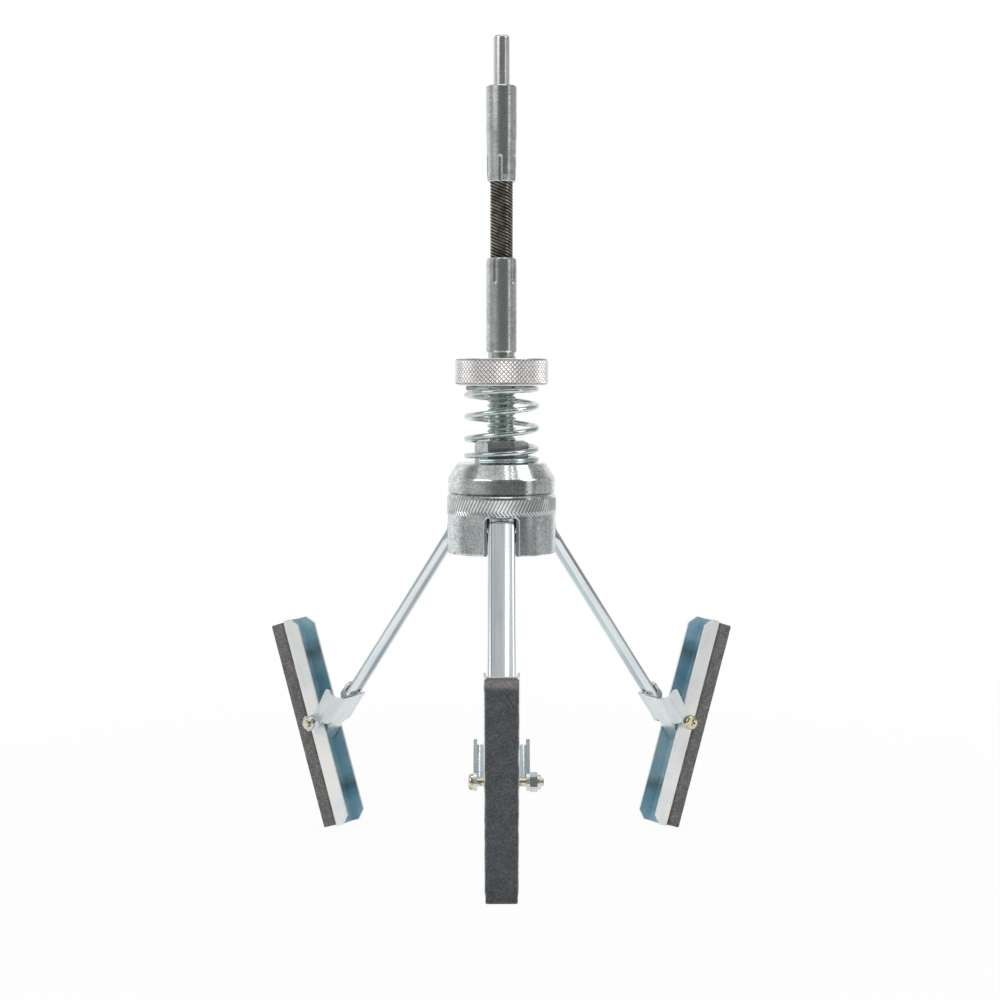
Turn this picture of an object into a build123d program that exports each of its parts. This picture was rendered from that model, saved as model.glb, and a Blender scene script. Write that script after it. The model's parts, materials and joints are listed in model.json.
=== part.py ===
from build123d import *
from math import atan2, cos, degrees, hypot, radians, sin, sqrt
import os

# Spring-loaded cylinder hone with three stones on swinging arms.
# Millimetres. +Z runs up the drive axis. The origin is on that axis, on the shoulder under the bare shank.
# One arm points along -Y, the other two stand 120 degrees to either side of it.

os.makedirs("parts", exist_ok=True)

# driving dimensions: drive shaft
SHANK_R = 3.63
STUB_R = 3.4
SHANK_TOP = 22.3
FERRULE_R = 6.85
UPPER_FERRULE_BOTTOM = -42.5
LOWER_FERRULE_TOP = -76.3
LOWER_FERRULE_BOTTOM = -118.6
FLEX_R = 5.15
BORE_GAP = 0.05

# driving dimensions: spindle, tension nut and spring
SPINDLE_R = 6.5
SPINDLE_NECK_R = 6.0
RUNNING_GAP = 0.08
NUT_R = 21.1
NUT_BEVEL = 1.25
NUT_TOP = -121.2
NUT_BOTTOM = -133.4
SPRING_R = 15.8
WIRE_R = 1.25

# driving dimensions: pressure cap and housing
CAP_TOP = -168.3
CAP_TOP_R = 20.0
CAP_R = 24.15
CAP_BEVEL_BOTTOM = -175.0
CAP_BOTTOM = -181.7
SPIGOT_R = 11.4
SPIGOT_BOTTOM = -197.45
BUSH_TOP = -158.3
BUSH_FLATS = 21.0
BUSH_NECK_R = 9.0
BUSH_NECK_BOTTOM = -177.0
HOUSING_R = 24.45
HOUSING_TOP = -181.9
HOUSING_BOTTOM = -208.9
GUIDE_BOTTOM = -189.5
CAVITY_R = 14.0
CAVITY_FLOOR = -203.2
POCKET_W = 15.7
SLOT_TOP = -191.4
SLOT_CORNER_R = 1.0
SLOT_EDGE = 0.4
SLOT_ROOT_R = 13.5
ARM_GAP = 0.4
POCKET_ROOT_R = 22.3
POCKET_CORNER_R = 2.4
BAND_TOP = -183.9
BAND_BOTTOM = -190.6
BAND_R = 24.2

# driving dimensions: arms. A point on an arm is given by its distance along the arm and its
# distance out of the arm's outer face, from the point ARM_R, ARM_Z on that face.
ARM_ANGLE = 35.16
ARM_R = 27.2
ARM_Z = -200.0
ARM_W = 12.0
SLOT_W = ARM_W + 2 * ARM_GAP
ARM_SHEET = 1.4
ARM_DEPTH = 2.4
ARM_CROWN_R = 30.0
ARM_END = 97.0
ARM_TOP = -11.2
ARM_BEND_R = 2.2
PIN_R = 1.5
PIN_RADIUS = 19.5
PIN_Z = -197.3
NOSE_R = 2.6
NOSE_ALONG = -9.4
NOSE_OUT = -13.6

# driving dimensions: bracket and pivot screw at the foot of each arm
BRACKET_SHEET = 1.5
BRACKET_HALF_W = 11.55
BRACKET_WEB_OUT = -1.5
BRACKET_START = 97.4
BRACKET_WEB_END = 113.5
NECK_START = 92.0
NECK_HALF_W = 5.3
NEST_HALF_W = 7.8
EAR_EDGE_OUT = 6.2
EAR_TIP = 99.4
EAR_END_R = 3.6
PIVOT_R = 97.0
PIVOT_Z = -294.0
SCREW_R = 1.75
SCREW_HEAD_R = 3.35
SCREW_HEAD_H = 2.0
SCREW_TIP = 17.2
NUT_FLATS = 7.0

# driving dimensions: stone carriers and stones, about the pivot screw
TILT = 17.6
CARRIER_L = 101.0
CARRIER_W = 14.5
CARRIER_SHEET = 1.0
CARRIER_OUT = 5.8
CARRIER_LIP = -2.5
CARRIER_CHAMFER = 4.0
STONE_L = 100.0
STONE_W = 13.5
STONE_T = 7.4

ARMS = {"front": -90, "right": 30, "left": 150}


def save(node, shape):
    shape.label = node
    export_step(shape, f"parts/{node}.step")


def turned(points):
    """A turned solid from radius and height pairs."""
    outline = make_face(Polyline(*[(r, 0, z) for r, z in points], close=True))
    return revolve(outline, Axis.Z)


def round_bar(radius, bottom, top):
    return Pos(0, 0, (bottom + top) / 2) * Cylinder(radius, top - bottom)


def side_plate(points, width):
    """A flat plate cut to a side outline in X and Z, centred on Y."""
    outline = make_face(Polyline(*[(x, 0, z) for x, z in points], close=True))
    return extrude(outline, width / 2, dir=(0, 1, 0), both=True)


def arc_points(cx, cz, radius, start, end, steps):
    """Points of an arc in the X and Z plane, from one angle to another."""
    turn = [start + (end - start) * i / steps for i in range(steps + 1)]
    return [(cx + radius * cos(radians(a)), cz + radius * sin(radians(a))) for a in turn]


def on_arm(shape):
    """Puts a shape drawn on a level arm (X outwards, Z back up the arm) onto the swung arm."""
    return Pos(ARM_R, 0, ARM_Z) * Rot(0, -ARM_ANGLE, 0) * shape


def on_pivot(shape):
    """Puts a shape drawn about an upright pivot onto the tilted one."""
    return Pos(PIVOT_R, 0, PIVOT_Z) * Rot(0, TILT, 0) * shape


def along_arm(r, z):
    """Distances along the arm and out of its outer face of a point at radius r and height z."""
    dr, dz = r - ARM_R, z - ARM_Z
    s, c = sin(radians(ARM_ANGLE)), cos(radians(ARM_ANGLE))
    return dr * s - dz * c, dr * c + dz * s


def hexagon_bar(flats, bottom, top, chamfer_r):
    """A hexagon bar whose upper corners are turned off."""
    bar = Pos(0, 0, bottom) * extrude(RegularPolygon(flats / 2, 6, major_radius=False), top - bottom)
    drop = (flats / sqrt(3) - chamfer_r) * 0.577 + 0.4
    cone = turned([
        (0, bottom - 1), (flats, bottom - 1), (flats, top - drop - (flats - flats / sqrt(3)) * 0.577),
        (chamfer_r, top), (0, top),
    ])
    return bar & cone


# drive shank
def shank():
    bar = round_bar(SHANK_R, 0, SHANK_TOP)
    bar = fillet(bar.edges().group_by(Axis.Z)[-1], 1.2)
    return bar + round_bar(STUB_R, -14.0, 0)


# ferrules, crimped onto the flexible shaft
def crimps(ferrule_r, end, away, first):
    """Five crimp dents at one end of a ferrule, each a round-ended groove."""
    dents = Part()
    for turn in range(0, 360, 72):
        middle = end + away * 4.6
        groove = Pos(ferrule_r + 1.1, 0, middle) * Cylinder(1.65, 12.0)
        tip = Pos(ferrule_r + 1.1, 0, middle + away * 6.0) * Sphere(1.65)
        dents += Rot(0, 0, turn + first) * (groove + tip)
    return dents


def upper_ferrule():
    body = turned([
        (0, 0), (6.35, 0), (6.83, -0.5), (6.83, -20.0), (6.64, -26.0), (6.5, -39.5), (6.2, -42.0),
        (5.9, UPPER_FERRULE_BOTTOM), (0, UPPER_FERRULE_BOTTOM),
    ])
    body -= round_bar(STUB_R + BORE_GAP, -14.2, 1)
    body -= round_bar(FLEX_R + BORE_GAP, UPPER_FERRULE_BOTTOM - 1, -17.5)
    return body - crimps(6.5, UPPER_FERRULE_BOTTOM, 1, -95)


def lower_ferrule():
    body = turned([
        (0, LOWER_FERRULE_TOP), (5.95, LOWER_FERRULE_TOP), (6.7, -77.0), (FERRULE_R, -78.2),
        (FERRULE_R, -117.9), (6.5, LOWER_FERRULE_BOTTOM), (0, LOWER_FERRULE_BOTTOM),
    ])
    body -= round_bar(FLEX_R + BORE_GAP, -101.0, LOWER_FERRULE_TOP + 1)
    body -= round_bar(4.0 + BORE_GAP, LOWER_FERRULE_BOTTOM - 1, -103.5)
    return body - crimps(FERRULE_R, LOWER_FERRULE_TOP, -1, -113)


def flexible_shaft():
    return round_bar(FLEX_R, -100.5, -18.0)


# spindle: stud for the lower ferrule, neck, screw length, foot held in the housing
def spindle():
    foot = HOUSING_BOTTOM + 0.6
    return turned([
        (0, -103.8), (3.6, -103.8), (4.0, -104.2), (4.0, LOWER_FERRULE_BOTTOM),
        (SPINDLE_NECK_R, LOWER_FERRULE_BOTTOM), (SPINDLE_NECK_R, NUT_TOP + 0.3),
        (SPINDLE_R, NUT_TOP - 0.3), (SPINDLE_R, foot), (0, foot),
    ])


# knurled tension nut
def tension_nut():
    body = turned([
        (SPINDLE_R + RUNNING_GAP, NUT_TOP), (NUT_R - NUT_BEVEL, NUT_TOP), (NUT_R, NUT_TOP - 0.9),
        (NUT_R, NUT_BOTTOM + 0.9), (NUT_R - NUT_BEVEL, NUT_BOTTOM), (SPINDLE_R + RUNNING_GAP, NUT_BOTTOM),
    ])
    return body


# coil spring with closed ends: turns from the right-hand side, height of the wire's centre
COIL = [
    (-0.6, -134.68), (-0.3, -134.72), (0.0, -134.95), (0.25, -135.7), (0.5, -137.6), (0.75, -140.0),
    (1.0, -142.6), (1.25, -145.1), (1.5, -147.6), (1.75, -150.1), (2.0, -152.6), (2.25, -155.1),
    (2.5, -157.6), (2.75, -160.0), (3.0, -162.15), (3.25, -163.8), (3.5, -165.2), (3.75, -166.3),
    (4.0, -166.85), (4.2, -166.98), (4.35, -167.0),
]


def coil_height(turn):
    for (a, za), (b, zb) in zip(COIL, COIL[1:]):
        if turn <= b:
            return za + (zb - za) * (turn - a) / (b - a)
    return COIL[-1][1]


def spring():
    steps = 80
    first, last = COIL[0][0], COIL[-1][0]
    turns = [first + (last - first) * i / steps for i in range(steps + 1)]
    points = []
    for t in turns:
        near = [coil_height(min(max(t + d, first), last)) for d in (-0.12, -0.06, 0, 0.06, 0.12)]
        angle = -2 * 3.14159265 * t
        points.append((SPRING_R * cos(angle), SPRING_R * sin(angle), sum(near) / len(near)))
    path = Spline(*points)
    section = Plane(origin=path @ 0, z_dir=path % 0) * Circle(WIRE_R)
    return sweep(section, path)


# pressure cap: bevelled head and a spigot that presses on the arms' noses
def pressure_cap():
    bore = SPINDLE_R + RUNNING_GAP
    neck = BUSH_NECK_R + 0.02
    return turned([
        (neck, CAP_TOP), (CAP_TOP_R - 0.5, CAP_TOP), (CAP_TOP_R, CAP_TOP - 0.3),
        (CAP_R - 0.25, CAP_BEVEL_BOTTOM + 0.3), (CAP_R, CAP_BEVEL_BOTTOM - 0.3),
        (CAP_R, CAP_BOTTOM + 0.5), (CAP_R - 0.5, CAP_BOTTOM), (SPIGOT_R, CAP_BOTTOM),
        (SPIGOT_R, SPIGOT_BOTTOM + 0.3), (SPIGOT_R - 0.3, SPIGOT_BOTTOM), (bore, SPIGOT_BOTTOM),
        (bore, BUSH_NECK_BOTTOM - 0.3), (neck, BUSH_NECK_BOTTOM - 0.3),
    ])


def guide_bush():
    bar = hexagon_bar(BUSH_FLATS, CAP_TOP + 0.02, BUSH_TOP, BUSH_FLATS / 2 - 0.3)
    bar += round_bar(BUSH_NECK_R, BUSH_NECK_BOTTOM, CAP_TOP + 0.1)
    return bar - round_bar(SPINDLE_R + RUNNING_GAP, BUSH_NECK_BOTTOM - 1, BUSH_TOP + 1)


# housing with three open slots, each in a shallow wider pocket, and a knurled band above them
def slot_cutter(root, width, corner):
    """A slot from a root radius outwards, rounded at the top and open below."""
    height = SLOT_TOP - HOUSING_BOTTOM + 4
    length = HOUSING_R + 6 - root
    cutter = Box(length, width, height)
    cutter = fillet(cutter.edges().filter_by(Axis.X).group_by(Axis.Z)[-1], corner)
    return Pos(root + length / 2, 0, SLOT_TOP - height / 2) * cutter


def is_slot_edge(edge):
    """Whether an edge is where a pocket breaks the housing's outer round."""
    ends = [(v.X, v.Y, v.Z) for v in edge.vertices()]
    if len(ends) < 2 or min(z for _, _, z in ends) < HOUSING_BOTTOM + 0.4:
        return False
    on_round = all(abs(hypot(x, y) - HOUSING_R) < 0.01 for x, y, _ in ends)
    turns = [radians(a) for a in ARMS.values()]
    beside = [min(abs(x * sin(a) - y * cos(a)) for a in turns) for x, y, _ in ends]
    return on_round and max(z for _, _, z in ends) < SLOT_TOP + 0.1 and max(beside) < POCKET_W / 2 + 0.1


def housing():
    body = turned([
        (0, HOUSING_TOP), (HOUSING_R - 0.9, HOUSING_TOP), (HOUSING_R, HOUSING_TOP - 0.9),
        (HOUSING_R, BAND_TOP + 0.1), (BAND_R, BAND_TOP - 0.1),
        (BAND_R, BAND_BOTTOM), (HOUSING_R, BAND_BOTTOM - 0.1),
        (HOUSING_R, HOUSING_BOTTOM + 0.5), (HOUSING_R - 0.5, HOUSING_BOTTOM), (0, HOUSING_BOTTOM),
    ])
    body -= round_bar(SPIGOT_R + 0.1, GUIDE_BOTTOM - 1, HOUSING_TOP + 1)
    body -= round_bar(CAVITY_R, CAVITY_FLOOR, GUIDE_BOTTOM)
    body -= round_bar(SPINDLE_R + 0.02, HOUSING_BOTTOM - 1, CAVITY_FLOOR + 1)
    pocket = slot_cutter(POCKET_ROOT_R, POCKET_W, POCKET_CORNER_R)
    slot = slot_cutter(SLOT_ROOT_R, SLOT_W, SLOT_CORNER_R)
    slot += Pos(11.5, 0, (SLOT_TOP + CAVITY_FLOOR) / 2) * Box(7, SLOT_W, SLOT_TOP - CAVITY_FLOOR)
    hole = Pos(PIN_RADIUS, 0, PIN_Z) * Rot(90, 0, 0) * Cylinder(PIN_R + 0.02, 60)
    for angle in ARMS.values():
        for cutter in (pocket, slot, hole):
            body -= Rot(0, 0, angle) * cutter
    rim = [e for e in body.edges() if is_slot_edge(e)]
    return chamfer(rim, SLOT_EDGE)


def arm_pin():
    """Pin across one slot, its ends dressed to the round of the housing."""
    pin = Pos(PIN_RADIUS, 0, PIN_Z) * Rot(90, 0, 0) * Cylinder(PIN_R, 60)
    return pin & round_bar(HOUSING_R - 0.15, PIN_Z - 5, PIN_Z + 5)


# swinging arm: pressed channel, bent inwards at the top into a lever with a round nose
def arm():
    pin_along, pin_out = along_arm(PIN_RADIUS, PIN_Z)
    top, nose_z = -ARM_TOP, -NOSE_ALONG
    outer = [(0, -ARM_END), (0, top - ARM_BEND_R)]
    outer += arc_points(-ARM_BEND_R, top - ARM_BEND_R, ARM_BEND_R, 0, 90, 6)[1:]
    rise = degrees(atan2(top - nose_z, sqrt(NOSE_R ** 2 - (top - nose_z) ** 2)))
    outer += arc_points(NOSE_OUT, nose_z, NOSE_R, rise, 270, 18)
    outer += [(pin_out - 4.4, -pin_along - 1.2)]
    outer += arc_points(pin_out, -pin_along, 3.6, 222, 262, 4)
    outer += [(-ARM_DEPTH, -pin_along - 10.0), (-ARM_DEPTH, -ARM_END)]
    body = side_plate(outer, ARM_W)
    body &= Pos(-ARM_CROWN_R, 0, 0) * Cylinder(ARM_CROWN_R, 3 * ARM_END)
    long_edges = [e for e in body.edges().filter_by(Axis.Z) if e.length > 80]
    long_edges = [e for e in long_edges if e.center().X > -1]
    body = fillet(long_edges, 1.5)
    nose_in = NOSE_OUT + 2.2
    inside = [
        (-ARM_SHEET, -ARM_END - 1), (-ARM_SHEET, top - 3.2), (-3.2, top - ARM_SHEET),
        (nose_in, top - ARM_SHEET), (nose_in, -pin_along - 12), (-ARM_DEPTH - 6, -ARM_END - 1),
    ]
    body -= side_plate(inside, ARM_W - 2 * ARM_SHEET)
    body -= Pos(pin_out, 0, -pin_along) * Rot(90, 0, 0) * Cylinder(PIN_R + 0.06, ARM_W + 2)
    return on_arm(body)


# bracket at the arm's foot: neck lapped on the arm, web set in, two ears, tongue that stops the carrier
def bracket():
    pivot_along, pivot_out = along_arm(PIVOT_R, PIVOT_Z)
    web_in = BRACKET_WEB_OUT - BRACKET_SHEET
    s = BRACKET_SHEET
    strip = [
        (0, -NECK_START), (s, -NECK_START), (s, -98.6), (BRACKET_WEB_OUT, -102.4),
        (BRACKET_WEB_OUT, -126.1), (web_in, -127.2), (web_in, -98.6), (0, -97.2),
    ]
    tongue = side_plate(strip, 2 * NECK_HALF_W)
    corners = tongue.edges().filter_by(Axis.X).group_by(Axis.Z)[-1]
    tongue = fillet(corners, 1.5)
    length = pivot_along + EAR_END_R + 1 - BRACKET_START
    middle = -(BRACKET_START + length / 2)
    block = Pos((web_in + 8) / 2, 0, middle) * Box(8 - web_in, 2 * BRACKET_HALF_W, length)
    block = fillet(block.edges().filter_by(Axis.Z).group_by(Axis.X)[0], 3.0)
    hollow = Box(9 - BRACKET_WEB_OUT, 2 * (BRACKET_HALF_W - s), length + 2)
    hollow = Pos((BRACKET_WEB_OUT + 9) / 2, 0, middle) * hollow
    hollow = fillet(hollow.edges().filter_by(Axis.Z).group_by(Axis.X)[0], 1.5)
    channel = block - hollow
    ear = [(EAR_EDGE_OUT, -EAR_TIP)]
    ear += arc_points(EAR_EDGE_OUT - 4.5, -EAR_TIP + 5.0, 5.0, 300, 235, 8)
    ear += [(BRACKET_WEB_OUT, -BRACKET_START - 0.9), (web_in - 1, -BRACKET_START - 0.4)]
    ear += [(web_in - 1, -BRACKET_WEB_END), (-0.4, -BRACKET_WEB_END)]
    ear += arc_points(pivot_out, -pivot_along, EAR_END_R, 190, 360 + 65, 14)
    channel &= side_plate(ear, 60)
    nest = [(-2.35, -97), (BRACKET_WEB_OUT, -104), (9, -104), (9, -97)]
    channel -= side_plate(nest, 2 * NEST_HALF_W)
    body = tongue + channel
    body -= Pos(pivot_out, 0, -pivot_along) * Rot(90, 0, 0) * Cylinder(SCREW_R + RUNNING_GAP, 60)
    return on_arm(body)


# pivot screw and its lock nut
def pivot_screw():
    outside = -BRACKET_HALF_W - 0.02
    bar = Pos(0, (outside + SCREW_TIP) / 2, 0) * Rot(90, 0, 0) * Cylinder(SCREW_R, SCREW_TIP - outside)
    bar = chamfer(bar.edges().group_by(Axis.Y)[-1], 0.4)
    head = Pos(0, outside - SCREW_HEAD_H / 2, 0) * Rot(90, 0, 0) * Cylinder(SCREW_HEAD_R, SCREW_HEAD_H)
    head = fillet(head.edges().group_by(Axis.Y)[0], 1.1)
    recess = Part()
    for turn in (0, 90):
        blade = Pos(0, outside - SCREW_HEAD_H, 0) * Rot(0, turn, 0) * Box(3.4, 2.2, 0.8)
        recess += blade
    return on_pivot(bar + (head - recess))


def pivot_nut():
    start = BRACKET_HALF_W + 0.02
    flats = Rot(-90, 0, 0) * extrude(RegularPolygon(NUT_FLATS / 2, 6, major_radius=False), 3.0)
    flats = Pos(0, start, 0) * flats
    collar = Pos(0, start + 3.0 + 0.7, 0) * Rot(90, 0, 0) * Cylinder(3.1, 1.4)
    collar = fillet(collar.edges().group_by(Axis.Y)[-1], 0.6)
    body = flats + collar
    body -= Pos(0, start + 2, 0) * Rot(90, 0, 0) * Cylinder(SCREW_R + 0.02, 12)
    return on_pivot(body)


# stone carrier: channel with clipped lip corners
def stone_carrier():
    half = CARRIER_L / 2
    c = CARRIER_CHAMFER
    side = [
        (CARRIER_OUT, -half), (CARRIER_OUT, half), (CARRIER_LIP + c, half), (CARRIER_LIP, half - c),
        (CARRIER_LIP, -half + c), (CARRIER_LIP + c, -half),
    ]
    body = side_plate(side, CARRIER_W)
    edges = [e for e in body.edges().filter_by(Axis.Z) if abs(e.center().X - CARRIER_OUT) < 0.01]
    body = fillet(edges, 1.3)
    width = CARRIER_W - 2 * CARRIER_SHEET
    depth = CARRIER_OUT - CARRIER_SHEET - CARRIER_LIP + 2
    inside = Pos(CARRIER_OUT - CARRIER_SHEET - depth / 2, 0, 0) * Box(depth, width, CARRIER_L + 4)
    inside = fillet(inside.edges().filter_by(Axis.Z).group_by(Axis.X)[-1], 0.5)
    body -= inside
    body -= Rot(90, 0, 0) * Cylinder(SCREW_R + RUNNING_GAP, 60)
    return on_pivot(body)


def stone():
    middle = CARRIER_OUT + 0.02 + STONE_T / 2
    block = Pos(middle, 0, 0) * Box(STONE_T, STONE_W, STONE_L)
    outer = block.edges().filter_by(Axis.Z).group_by(Axis.X)[-1]
    block = fillet(outer, 0.7)
    return on_pivot(block)


save("shank", shank())
save("upper_ferrule", upper_ferrule())
save("flexible_shaft", flexible_shaft())
save("lower_ferrule", lower_ferrule())
save("spindle", spindle())
save("tension_nut", tension_nut())
save("tension_spring", spring())
save("guide_bush", guide_bush())
save("pressure_cap", pressure_cap())
save("housing", housing())
for name, angle in ARMS.items():
    turn = Rot(0, 0, angle)
    save(f"arm_pin_{name}", turn * arm_pin())
    save(f"arm_{name}", turn * arm())
    save(f"bracket_{name}", turn * bracket())
    save(f"pivot_screw_{name}", turn * pivot_screw())
    save(f"pivot_nut_{name}", turn * pivot_nut())
    save(f"stone_carrier_{name}", turn * stone_carrier())
    save(f"stone_{name}", turn * stone())
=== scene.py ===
import bpy
import bmesh
import json
import math
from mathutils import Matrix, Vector


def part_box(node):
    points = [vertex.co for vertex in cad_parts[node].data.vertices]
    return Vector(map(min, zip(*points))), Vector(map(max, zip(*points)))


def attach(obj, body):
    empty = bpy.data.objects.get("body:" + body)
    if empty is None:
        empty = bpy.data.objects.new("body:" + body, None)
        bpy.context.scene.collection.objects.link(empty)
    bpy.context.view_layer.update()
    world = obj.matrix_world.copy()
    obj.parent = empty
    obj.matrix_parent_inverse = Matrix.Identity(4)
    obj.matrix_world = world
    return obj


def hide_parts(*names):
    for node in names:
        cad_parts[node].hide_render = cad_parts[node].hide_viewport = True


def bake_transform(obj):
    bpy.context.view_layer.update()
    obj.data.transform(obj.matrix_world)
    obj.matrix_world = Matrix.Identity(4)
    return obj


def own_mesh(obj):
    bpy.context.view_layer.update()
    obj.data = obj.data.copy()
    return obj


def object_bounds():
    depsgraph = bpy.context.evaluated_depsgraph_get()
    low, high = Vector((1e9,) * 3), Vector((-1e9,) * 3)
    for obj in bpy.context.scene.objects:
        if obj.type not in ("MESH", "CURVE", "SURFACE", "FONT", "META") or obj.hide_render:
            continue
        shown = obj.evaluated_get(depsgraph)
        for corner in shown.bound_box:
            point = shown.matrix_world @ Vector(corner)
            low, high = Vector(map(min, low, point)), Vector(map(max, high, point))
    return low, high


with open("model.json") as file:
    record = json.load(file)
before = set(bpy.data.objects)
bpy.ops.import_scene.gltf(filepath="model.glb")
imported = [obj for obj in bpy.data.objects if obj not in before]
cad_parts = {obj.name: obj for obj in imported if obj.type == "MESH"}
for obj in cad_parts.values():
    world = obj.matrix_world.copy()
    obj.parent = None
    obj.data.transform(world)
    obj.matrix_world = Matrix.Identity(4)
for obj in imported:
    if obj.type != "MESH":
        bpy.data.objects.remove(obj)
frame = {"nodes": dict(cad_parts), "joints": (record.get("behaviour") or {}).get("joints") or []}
CAD_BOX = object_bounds()
JOINTS = {joint["name"]: joint for joint in frame["joints"]}


def low(node):
    """The lowest corner of a solid."""
    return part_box(node)[0]


def high(node):
    """The highest corner of a solid."""
    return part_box(node)[1]


# Sizes are in metres. +Z runs up the drive axis, and the front arm points along -Y.
# What carries or meets a piece of the scene is read from the solids and their joints.
MM = 0.001
FULL_TURN = 2 * math.pi
ARMS = {"front": -90, "right": 30, "left": 150}

# flexible shaft
WIRES = 8
WIRE_PITCH = 1.42 * MM
WIRE_R = 0.71 * MM
SHAFT_R = high("flexible_shaft").x
SHAFT_TURNS = 7
LOWER_FERRULE_TOP = high("lower_ferrule").z
SHAFT_BOTTOM = LOWER_FERRULE_TOP - 21.9 * MM

# spindle, whose thread shows from just under the nut's top
NUT_TOP = high("tension_nut").z
NUT_BOTTOM = low("tension_nut").z
FERRULE_BOTTOM = low("lower_ferrule").z
CORE_R = 4.0 * MM
CORE_REACH = 12.0 * MM
NECK_R = 6.0 * MM
THREAD_TOP = NUT_TOP - 0.2 * MM
THREAD_R = high("spindle").x
THREAD_ROOT = 5.3 * MM
THREAD_PITCH = 2.3 * MM
THREAD_TURNS = 38

# tension nut
NUT_R = high("tension_nut").x
NUT_RIM = NUT_R - 1.15 * MM
NUT_BORE = THREAD_R + 0.1 * MM
NUT_KNURLS = 64
NUT_ROWS = 5
KNURL_DEPTH = 0.55 * MM
NUT_VALLEY = NUT_R - KNURL_DEPTH

# tension spring, between nut and cap
SPRING_R = 15.8 * MM
SPRING_WIRE_R = 1.25 * MM

# knurled band of the housing
HOUSING_R = high("housing").x
BAND_TOP = high("housing").z - 2.0 * MM
BAND_CREASE = BAND_TOP - 5.4 * MM
BAND_BOTTOM = BAND_TOP - 7.3 * MM
BAND_CREST = HOUSING_R + 0.15 * MM
BAND_VALLEY = HOUSING_R - 0.24 * MM
BAND_RIDGES = 92
BAND_SLANT = math.radians(6.6)
BAND_BACK_SLANT = math.radians(-4.0)

# rounded edges of the arm slots
POCKET_HALF = 7.85 * MM
POCKET_ROUND = 2.4 * MM
SLOT_TOP = BAND_BOTTOM - 0.2 * MM
LIP_FOOT = low("housing").z + 0.3 * MM
LIP_R = 0.42 * MM
LIP_AXIS_R = HOUSING_R - 0.35 * MM

# stone carriers and stones, about each pivot screw
PIVOT_R = -JOINTS["front_stone_tilt"]["pos_m"][1]
PIVOT_Z = JOINTS["front_stone_tilt"]["pos_m"][2]
TILT = math.radians(17.6)
CARRIER_OUT = 5.8 * MM
CHANNEL_HALF = 6.4 * MM
CHANNEL_OUT = 5.0 * MM
SMOKE_AT = 33.0 * MM
STONE_SIZE = (7.4 * MM, 13.5 * MM, 100.0 * MM)
STONE_WEAR = 0.1 * MM
GLUE_SIZE = (1.0 * MM, 13.9 * MM, 99.3 * MM)

# arms
ARM_R = 27.2 * MM
ARM_Z = -200.0 * MM
ARM_ANGLE = math.radians(35.16)
# painted shade lines along the arm, dark where its bends reflect darkly: place across the arm, width,
# strength
PAINTED_SHADE_LINES = ((-4.4 * MM, 0.4 * MM, 0.7), (-3.0 * MM, 0.3 * MM, 0.35), (2.95 * MM, 0.4 * MM, 0.45))

# the floor, just under the lowest corner of the stones
FLOOR_Z = CAD_BOX[0][2] - 0.14 * MM

# the studio: the direction of its dark side, what its lamps aim at, and the photograph's view
DARK_SIDE = (0.34, -0.94, 0.0)
LAMP_AIM = Vector((0, 0, -170 * MM))
EYE = (-0.68 * MM, -903.65 * MM, -122.4 * MM)
EYE_TILT = math.radians(86.02)
LENS = 72


# ways of working

def deselect():
    """Leaves edit mode and selects nothing."""
    if bpy.context.object and bpy.context.object.mode != "OBJECT":
        bpy.ops.object.mode_set(mode="OBJECT")
    bpy.ops.object.select_all(action="DESELECT")


def take(piece):
    """Makes one object the only selected and active one."""
    deselect()
    piece.select_set(True)
    bpy.context.view_layer.objects.active = piece
    return piece


def pick(piece, kind, wanted):
    """In edit mode, selects the vertices, edges or faces whose centre passes a test."""
    mesh = bmesh.from_edit_mesh(piece.data)
    bpy.context.tool_settings.mesh_select_mode = (kind == "verts", kind == "edges", kind == "faces")
    for part in (*mesh.faces, *mesh.edges, *mesh.verts):
        part.select = False
    for part in getattr(mesh, kind):
        if kind == "verts":
            centre = part.co
        elif kind == "edges":
            centre = (part.verts[0].co + part.verts[1].co) / 2
        else:
            centre = part.calc_center_median()
        part.select = bool(wanted(centre))
    mesh.select_flush_mode()
    bmesh.update_edit_mesh(piece.data)


def apply_modifiers(piece):
    """Turns a piece's modifiers into mesh, in their order."""
    take(piece)
    for modifier in list(piece.modifiers):
        bpy.ops.object.modifier_apply(modifier=modifier.name)


def close_up(piece):
    """Merges doubles, fills open ends and turns every face outwards."""
    take(piece)
    bpy.ops.object.mode_set(mode="EDIT")
    bpy.ops.mesh.select_all(action="SELECT")
    bpy.ops.mesh.remove_doubles(threshold=0.002 * MM)
    bpy.ops.mesh.fill_holes(sides=0)
    bpy.ops.mesh.select_all(action="SELECT")
    bpy.ops.mesh.normals_make_consistent(inside=False)
    bpy.ops.object.mode_set(mode="OBJECT")
    return piece


def place(piece):
    """Moves a piece's place into its mesh."""
    take(piece)
    bpy.ops.object.transform_apply(location=True, rotation=True, scale=True)
    return piece


def join(pieces):
    """Makes several objects one."""
    deselect()
    for piece in pieces:
        piece.select_set(True)
    bpy.context.view_layer.objects.active = pieces[0]
    bpy.ops.object.join()
    return bpy.context.object


def turned_copy(piece, angle):
    """A copy with its own mesh, turned about the drive axis."""
    take(piece)
    bpy.ops.object.duplicate()
    copy = bpy.context.object
    copy.rotation_euler = (0, 0, angle)
    return place(copy)


def finish(piece, name, material, smooth=35):
    """Names a piece, dresses it and smooths its round faces."""
    take(piece)
    piece.name = name
    piece.data.name = name
    piece.data.materials.clear()
    piece.data.materials.append(material)
    bpy.ops.object.shade_smooth_by_angle(angle=math.radians(smooth))
    return piece


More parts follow.
